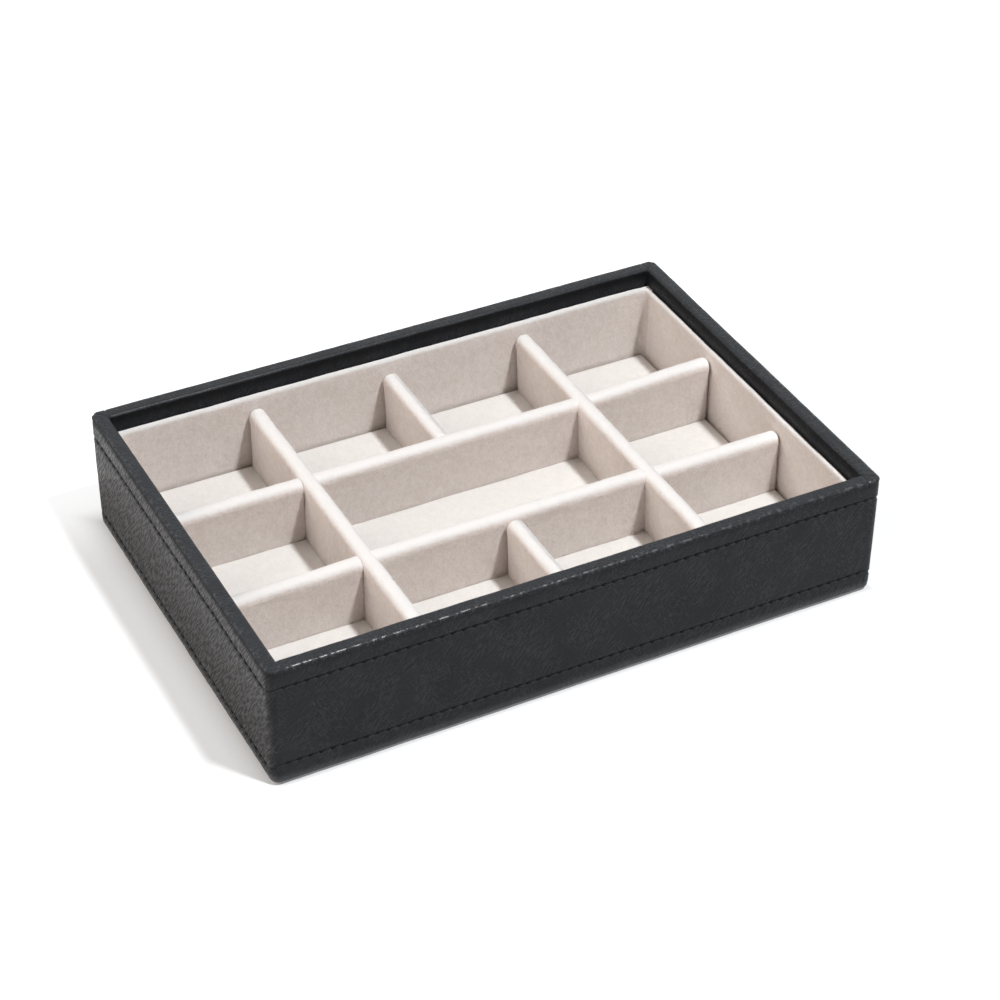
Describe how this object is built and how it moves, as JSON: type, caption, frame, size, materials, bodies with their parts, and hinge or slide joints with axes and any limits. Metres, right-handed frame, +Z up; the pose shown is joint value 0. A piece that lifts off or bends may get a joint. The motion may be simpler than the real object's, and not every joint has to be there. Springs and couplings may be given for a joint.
{
  "type": "jewelry tray",
  "caption": "Shallow rectangular tray covered in black cross-grained leather, with a raised rim and a pale velvet lining that crossed dividers part into small compartments.",
  "frame": {"origin": "centre of the footprint, at the surface that the tray stands on", "axes": "+X along the long side, +Y towards the back, +Z up, out of the open top"},
  "size_m": [0.18, 0.125, 0.038],
  "materials": {
    "leather": "black cross-grained faux leather, satin",
    "thread": "black waxed polyester thread",
    "underside_felt": "black felt",
    "greyboard": "bare greyboard",
    "lining_card": "bare card",
    "lining_velvet": "short-pile velvet, warm grey",
    "divider_velvet": "short-pile velvet, warm grey",
    "floor_velvet": "short-pile velvet, warm grey",
    "foam": "thin foam sheet"
  },
  "bodies": {
    "root": {"leather_wrap": "leather", "top_stitching": "thread", "bottom_stitching": "thread", "underside_sheet": "underside_felt", "base_board": "greyboard", "front_board": "greyboard", "back_board": "greyboard", "left_board": "greyboard", "right_board": "greyboard", "front_lining_card": "lining_card", "back_lining_card": "lining_card", "left_lining_card": "lining_card", "right_lining_card": "lining_card", "front_lining_velvet": "lining_velvet", "back_lining_velvet": "lining_velvet", "left_lining_velvet": "lining_velvet", "right_lining_velvet": "lining_velvet", "floor_card": "lining_card", "floor_foam": "foam", "floor_velvet": "floor_velvet", "long_divider_left_core": "lining_card", "long_divider_left_velvet": "divider_velvet", "long_divider_right_core": "lining_card", "long_divider_right_velvet": "divider_velvet", "cross_divider_back_core": "lining_card", "cross_divider_back_velvet": "divider_velvet", "cross_divider_front_core": "lining_card", "cross_divider_front_velvet": "divider_velvet", "short_divider_back_core": "lining_card", "short_divider_back_velvet": "divider_velvet", "short_divider_front_core": "lining_card", "short_divider_front_velvet": "divider_velvet"}
  },
  "joints": []
}
